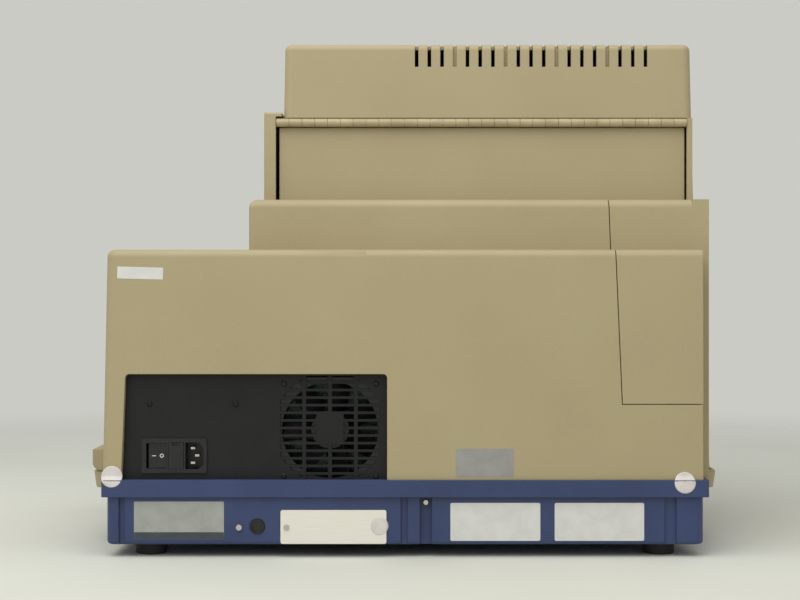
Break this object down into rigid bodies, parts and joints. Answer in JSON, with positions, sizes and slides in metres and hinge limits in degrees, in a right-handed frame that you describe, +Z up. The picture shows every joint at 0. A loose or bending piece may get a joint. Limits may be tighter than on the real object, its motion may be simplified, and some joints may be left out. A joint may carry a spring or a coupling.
{
  "type": "microplate reader",
  "caption": "Bench microplate reader with a stepped housing, rear-hinged lid over a pipetting gantry, plate drawers, control deck, cuvette port and mains panel with fan.",
  "frame": {"origin": "on the table, under the middle of the whole object's box", "axes": "+Z up, +Y to the back with the mains inlet, +X to the control panel side"},
  "size_m": [0.628, 0.45, 0.4976],
  "materials": {
    "tan_moulding": "fine-textured structural foam, satin",
    "blue_moulding": "fine-textured moulding",
    "black_sheet": "black powder coat, satin",
    "black_plastic": "satin nylon",
    "rubber_foot": "matt",
    "hinge_steel": "painted steel",
    "bright_steel": "plated",
    "bare_aluminium": "brushed",
    "tray_plastic": "black anodised look",
    "key_plastic": "satin",
    "display_glass": "clear window",
    "circuit_board": "solder mask",
    "case_steel": "zinc-plated sheet",
    "belt_rubber": "matt",
    "pin_brass": "nickel-plated"
  },
  "bodies": {
    "housing": {"base_pan": "blue_moulding", "feet": "rubber_foot", "lower_band": "tan_moulding", "rear_cover": "tan_moulding", "side_cover": "tan_moulding", "tower_side_wall": "tan_moulding", "hinge_panel": "tan_moulding", "front_bezel": "tan_moulding", "control_deck": "tan_moulding", "power_panel": "black_sheet", "power_entry": "black_plastic", "inlet_pins": "pin_brass", "fan_frame": "black_plastic", "panel_screws": "black_sheet", "port_cover_plate": "bare_aluminium", "base_screws": "bright_steel", "din_socket": "black_plastic", "hinge_fixed_leaf": "hinge_steel", "hinge_pin": "bright_steel", "drawer_rails": "bright_steel", "display_window": "display_glass", "display_module": "circuit_board", "cuvette_holder": "tray_plastic", "chassis_plate": "case_steel", "power_supply": "case_steel", "main_board": "circuit_board", "optics_housing": "tray_plastic", "flash_lamp": "bare_aluminium", "gantry_beam": "bare_aluminium", "gantry_posts": "bare_aluminium", "x_rail": "bright_steel", "x_motor": "black_plastic", "x_belt": "belt_rubber"},
    "lid": {"lid": "tan_moulding", "hinge_moving_leaf": "hinge_steel"},
    "tip_drawer": {"tip_rack_tray": "tray_plastic", "tip_rack_front": "tan_moulding"},
    "compound_drawer": {"compound_tray": "tray_plastic", "compound_front": "tan_moulding"},
    "read_drawer": {"read_plate_tray": "tray_plastic", "read_plate_front": "tan_moulding"},
    "rocker": {"rocker_switch": "black_plastic"},
    "fuse_holder": {"fuse_drawer": "black_plastic"},
    "fan": {"fan_rotor": "black_plastic"},
    "x_stage": {"x_carriage": "bare_aluminium", "z_motor": "black_plastic"},
    "lead_screw": {"z_screw": "bright_steel"},
    "head": {"head_body": "bare_aluminium", "nozzles": "bright_steel", "plunger_motor": "black_plastic"},
    "plunger": {"plunger_plate": "bare_aluminium"},
    "drive_wheel": {"drive_pulley": "bare_aluminium"},
    "idler_wheel": {"idler_pulley": "bare_aluminium"},
    "cuvette_hatch": {"cuvette_lid": "tan_moulding"},
    "temperature_key": {"temperature_key": "key_plastic"},
    "down_key": {"down_key": "key_plastic"},
    "up_key": {"up_key": "key_plastic"},
    "drawer_key": {"drawer_key": "key_plastic"},
    "read_key": {"read_key": "key_plastic"},
    "start_key": {"start_key": "key_plastic"}
  },
  "joints": [
    {"name": "lid_hinge", "type": "hinge", "parent": "housing", "child": "lid", "pos_m": [0, 0.1516, 0.4198], "axis": [-1, 0, 0], "range_deg": [0, 85]},
    {"name": "tip_drawer_slide", "type": "slide", "parent": "housing", "child": "tip_drawer", "axis": [0, -1, 0], "range_m": [0, 0.14]},
    {"name": "compound_drawer_slide", "type": "slide", "parent": "housing", "child": "compound_drawer", "axis": [0, -1, 0], "range_m": [0, 0.14]},
    {"name": "read_drawer_slide", "type": "slide", "parent": "housing", "child": "read_drawer", "axis": [0, -1, 0], "range_m": [0, 0.14]},
    {"name": "power_rocker", "type": "hinge", "parent": "housing", "child": "rocker", "pos_m": [0.2368, 0.206, 0.0956], "axis": [0, 0, 1], "range_deg": [-16, 0]},
    {"name": "fuse_drawer_slide", "type": "slide", "parent": "housing", "child": "fuse_holder", "axis": [0, 1, 0], "range_m": [0, 0.02]},
    {"name": "fan_spin", "type": "hinge", "parent": "housing", "child": "fan", "pos_m": [0.0716, 0.198, 0.1202], "axis": [0, 1, 0], "continuous": true},
    {"name": "pipettor_x", "type": "slide", "parent": "housing", "child": "x_stage", "axis": [1, 0, 0], "range_m": [0, 0.363]},
    {"name": "drive_pulley_spin", "type": "hinge", "parent": "housing", "child": "drive_wheel", "pos_m": [0.094, 0, 0.332], "axis": [0, 1, 0], "range_deg": [0, 2900]},
    {"name": "idler_pulley_spin", "type": "hinge", "parent": "housing", "child": "idler_wheel", "pos_m": [-0.258, 0, 0.332], "axis": [0, 1, 0], "range_deg": [0, 2900]},
    {"name": "pipettor_z", "type": "slide", "parent": "x_stage", "child": "head", "axis": [0, 0, -1], "range_m": [0, 0.105]},
    {"name": "lead_screw_turn", "type": "hinge", "parent": "x_stage", "child": "lead_screw", "pos_m": [-0.2623, -0.052, 0.34], "axis": [0, 0, 1], "range_deg": [0, 3900]},
    {"name": "plunger_drive", "type": "slide", "parent": "head", "child": "plunger", "axis": [0, 0, -1], "range_m": [0, 0.02]},
    {"name": "cuvette_lid_hinge", "type": "hinge", "parent": "housing", "child": "cuvette_hatch", "pos_m": [0.236, -0.139, 0.1243], "axis": [-1, 0, 0], "range_deg": [0, 105]},
    {"name": "temperature_key_press", "type": "slide", "parent": "housing", "child": "temperature_key", "axis": [0, -0.8535, 0.521], "range_m": [-0.0015, 0], "stiffness_N_per_m": 400, "springref_m": 0.0005},
    {"name": "down_key_press", "type": "slide", "parent": "housing", "child": "down_key", "axis": [0, -0.8535, 0.521], "range_m": [-0.0015, 0], "stiffness_N_per_m": 400, "springref_m": 0.0005},
    {"name": "up_key_press", "type": "slide", "parent": "housing", "child": "up_key", "axis": [0, -0.8535, 0.521], "range_m": [-0.0015, 0], "stiffness_N_per_m": 400, "springref_m": 0.0005},
    {"name": "drawer_key_press", "type": "slide", "parent": "housing", "child": "drawer_key", "axis": [0, -0.8535, 0.521], "range_m": [-0.0015, 0], "stiffness_N_per_m": 400, "springref_m": 0.0005},
    {"name": "read_key_press", "type": "slide", "parent": "housing", "child": "read_key", "axis": [0, -0.8535, 0.521], "range_m": [-0.0015, 0], "stiffness_N_per_m": 400, "springref_m": 0.0005},
    {"name": "start_key_press", "type": "slide", "parent": "housing", "child": "start_key", "axis": [0, -0.8535, 0.521], "range_m": [-0.0015, 0], "stiffness_N_per_m": 400, "springref_m": 0.0005}
  ],
  "couplings": [
    {"joint": "drive_pulley_spin", "follows": "pipettor_x", "rad_per_m": 128},
    {"joint": "idler_pulley_spin", "follows": "pipettor_x", "rad_per_m": 128},
    {"joint": "lead_screw_turn", "follows": "pipettor_z", "rad_per_m": 628.32}
  ]
}
